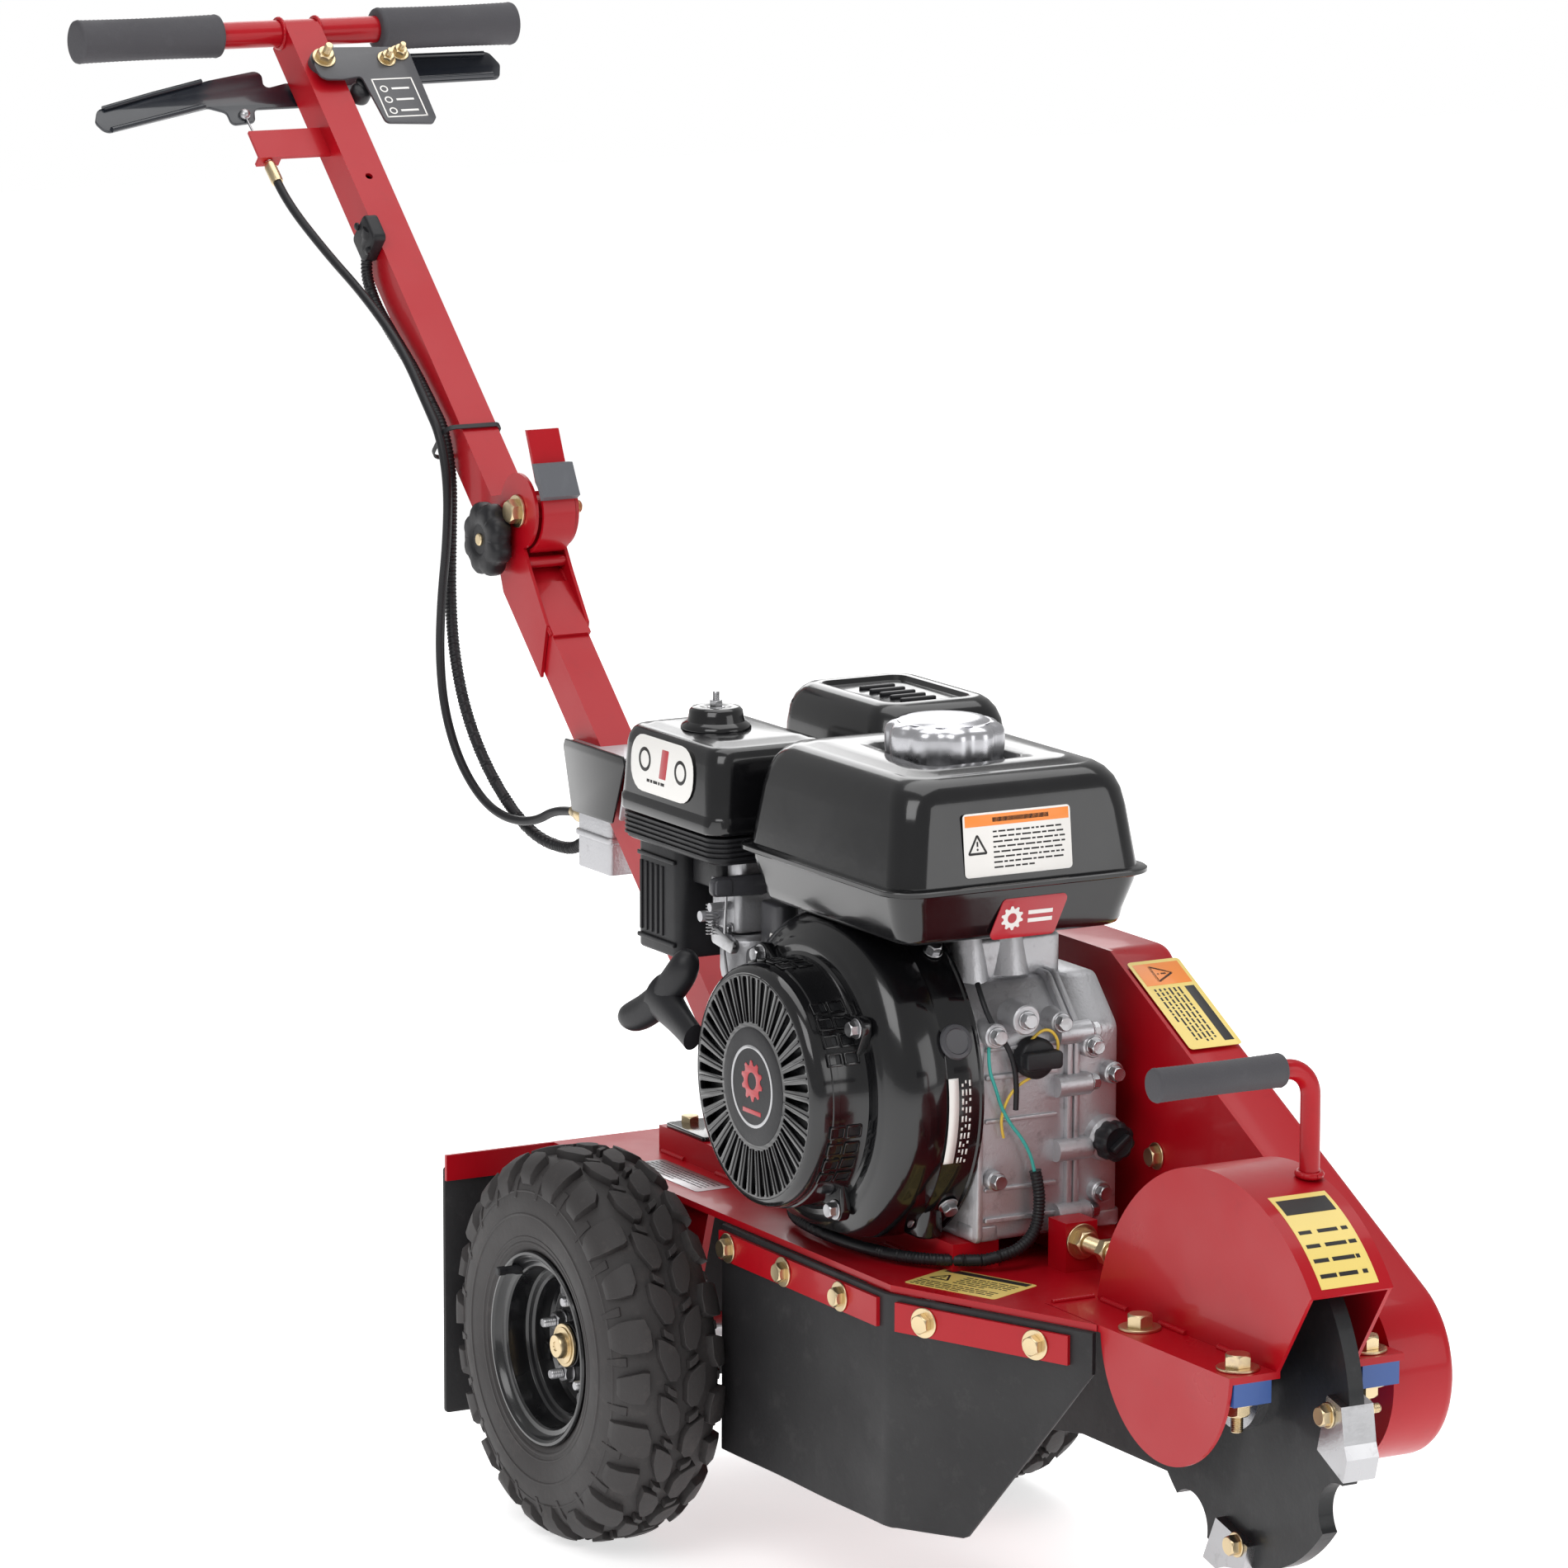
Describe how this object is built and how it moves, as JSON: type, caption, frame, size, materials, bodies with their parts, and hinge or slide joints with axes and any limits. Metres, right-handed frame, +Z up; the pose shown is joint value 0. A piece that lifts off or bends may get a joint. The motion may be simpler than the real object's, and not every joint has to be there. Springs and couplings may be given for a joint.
{
  "type": "stump grinder",
  "caption": "Walk-behind stump grinder: engine on a two-wheeled deck, belt-driven toothed cutter wheel at the nose and a folding steering handle.",
  "frame": {"origin": "on the ground, under the middle of the machine's length and width", "axes": "+X forward to the cutter wheel, +Y to the machine's left (belt side), +Z up from the ground"},
  "size_m": [1.5783, 0.4224, 1.0739],
  "materials": {
    "red_paint": "gloss",
    "black_paint": "gloss",
    "tyre": "matt",
    "rim_paint": "satin",
    "steel": "satin",
    "yellow_zinc": "satin",
    "skirt_rubber": "matt",
    "grip_rubber": "matt",
    "bearing_blue": "gloss",
    "aluminium": "matt",
    "black_plastic": "satin",
    "chrome": "gloss",
    "grey_paint": "satin",
    "lever_paint": "satin",
    "belt_rubber": "matt",
    "filter_foam": "matt"
  },
  "bodies": {
    "frame": {"deck_frame": "red_paint", "axle": "steel", "rubber_skirts": "skirt_rubber", "clamp_strips": "red_paint", "frame_bolts": "yellow_zinc", "cutter_guard": "red_paint", "bearing_blocks": "bearing_blue", "drive_belt": "belt_rubber", "belt_guard_plate": "red_paint", "belt_guard_cover": "red_paint", "lift_handle": "red_paint", "lift_grip": "grip_rubber", "crankcase": "aluminium", "cylinder": "aluminium", "valve_cover": "black_paint", "fan_housing": "black_paint", "recoil_cover": "black_paint", "fuel_tank": "black_paint", "air_cleaner_case": "black_plastic", "air_cleaner_cover": "black_plastic", "air_element": "filter_foam", "carburettor": "aluminium", "muffler": "steel", "muffler_guard": "black_paint", "lower_column": "red_paint", "hinge_bracket": "red_paint", "pivot_bolt": "yellow_zinc", "cable_bracket": "grey_paint", "lower_cables": "black_plastic"},
    "right_wheel": {"right_tyre": "tyre", "right_rim": "rim_paint"},
    "left_wheel": {"left_tyre": "tyre", "left_rim": "rim_paint"},
    "cutter": {"cutter_disc": "red_paint", "cutter_teeth": "steel", "tooth_bolts": "steel", "cutter_shaft": "steel", "driven_pulley": "steel"},
    "crank": {"crankshaft": "steel", "flywheel": "aluminium", "drive_pulley": "steel"},
    "reel": {"starter_reel": "black_plastic"},
    "starter_grip": {"pull_grip": "black_plastic"},
    "tank_cap": {"fuel_cap": "chrome"},
    "air_knob": {"cover_knob": "black_plastic"},
    "choke": {"choke_lever": "lever_paint"},
    "fuel_tap": {"fuel_valve": "black_plastic"},
    "oil_plug": {"dipstick": "black_plastic"},
    "fold_knob": {"clamp_knob": "grip_rubber"},
    "handle": {"upper_tube": "red_paint", "handlebar": "red_paint", "hand_grips": "grip_rubber", "control_plate": "grey_paint", "control_bolts": "yellow_zinc", "upper_cables": "black_plastic"},
    "latch": {"latch_lever": "red_paint", "latch_pad": "grip_rubber"},
    "right_control": {"right_lever": "lever_paint"},
    "left_control": {"left_lever": "lever_paint"},
    "throttle": {"throttle_lever": "black_plastic"}
  },
  "joints": [
    {"name": "right_wheel_spin", "type": "hinge", "parent": "frame", "child": "right_wheel", "pos_m": [0.044, -0.165, 0.1485], "axis": [0, 1, 0], "continuous": true},
    {"name": "left_wheel_spin", "type": "hinge", "parent": "frame", "child": "left_wheel", "pos_m": [0.044, 0.165, 0.1485], "axis": [0, 1, 0], "continuous": true},
    {"name": "cutter_spin", "type": "hinge", "parent": "frame", "child": "cutter", "pos_m": [0.651, 0.027, 0.235], "axis": [0, 1, 0], "continuous": true},
    {"name": "crank_spin", "type": "hinge", "parent": "frame", "child": "crank", "pos_m": [0.284, 0, 0.39], "axis": [0, 1, 0], "continuous": true},
    {"name": "starter_pull", "type": "slide", "parent": "frame", "child": "starter_grip", "axis": [-0.5997, -0.3498, 0.7197], "range_m": [0, 0.45], "stiffness_N_per_m": 20, "springref_m": -0.3},
    {"name": "reel_turn", "type": "hinge", "parent": "frame", "child": "reel", "pos_m": [0.284, -0.14, 0.39], "axis": [0, 1, 0], "range_deg": [0, 450]},
    {"name": "fuel_cap_turn", "type": "hinge", "parent": "frame", "child": "tank_cap", "pos_m": [0.326, -0.028, 0.64], "axis": [0, 0, 1], "range_deg": [0, 90]},
    {"name": "cover_knob_turn", "type": "hinge", "parent": "frame", "child": "air_knob", "pos_m": [0.114, -0.092, 0.625], "axis": [0, 0, 1], "continuous": true},
    {"name": "choke_turn", "type": "hinge", "parent": "frame", "child": "choke", "pos_m": [0.17, -0.086, 0.511], "axis": [1, 0, 0], "range_deg": [0, 35]},
    {"name": "fuel_tap_turn", "type": "hinge", "parent": "frame", "child": "fuel_tap", "pos_m": [0.145, -0.112, 0.472], "axis": [0, 1, 0], "range_deg": [0, 60]},
    {"name": "oil_plug_turn", "type": "hinge", "parent": "frame", "child": "oil_plug", "pos_m": [0.402, 0.066, 0.35], "axis": [1, 0, 0], "continuous": true},
    {"name": "fold_knob_turn", "type": "hinge", "parent": "frame", "child": "fold_knob", "pos_m": [-0.37142, -0.03, 0.68867], "axis": [0, 1, 0], "continuous": true},
    {"name": "handle_fold", "type": "hinge", "parent": "frame", "child": "handle", "pos_m": [-0.34382, 0, 0.71349], "axis": [0, 1, 0], "range_deg": [0, 70]},
    {"name": "latch_release", "type": "hinge", "parent": "handle", "child": "latch", "pos_m": [-0.34382, 0, 0.71349], "axis": [0, 1, 0], "range_deg": [0, 14], "stiffness_Nm_per_rad": 1.5, "springref_deg": -11.46},
    {"name": "right_lever_squeeze", "type": "hinge", "parent": "handle", "child": "right_control", "pos_m": [-0.75169, 0, 1.00698], "axis": [0.6871, 0, 0.7266], "range_deg": [-12, 0], "stiffness_Nm_per_rad": 2, "springref_deg": 11.46},
    {"name": "left_lever_squeeze", "type": "hinge", "parent": "handle", "child": "left_control", "pos_m": [-0.75512, 0, 1.00334], "axis": [0.6871, 0, 0.7266], "range_deg": [0, 10], "stiffness_Nm_per_rad": 2, "springref_deg": -11.46},
    {"name": "throttle_turn", "type": "hinge", "parent": "handle", "child": "throttle", "pos_m": [-0.72473, 0.056, 1.02966], "axis": [0.6871, 0, 0.7266], "range_deg": [0, 40]}
  ],
  "couplings": [
    {"joint": "crank_spin", "follows": "cutter_spin", "ratio": 1},
    {"joint": "reel_turn", "follows": "starter_pull", "rad_per_m": 17.241}
  ]
}
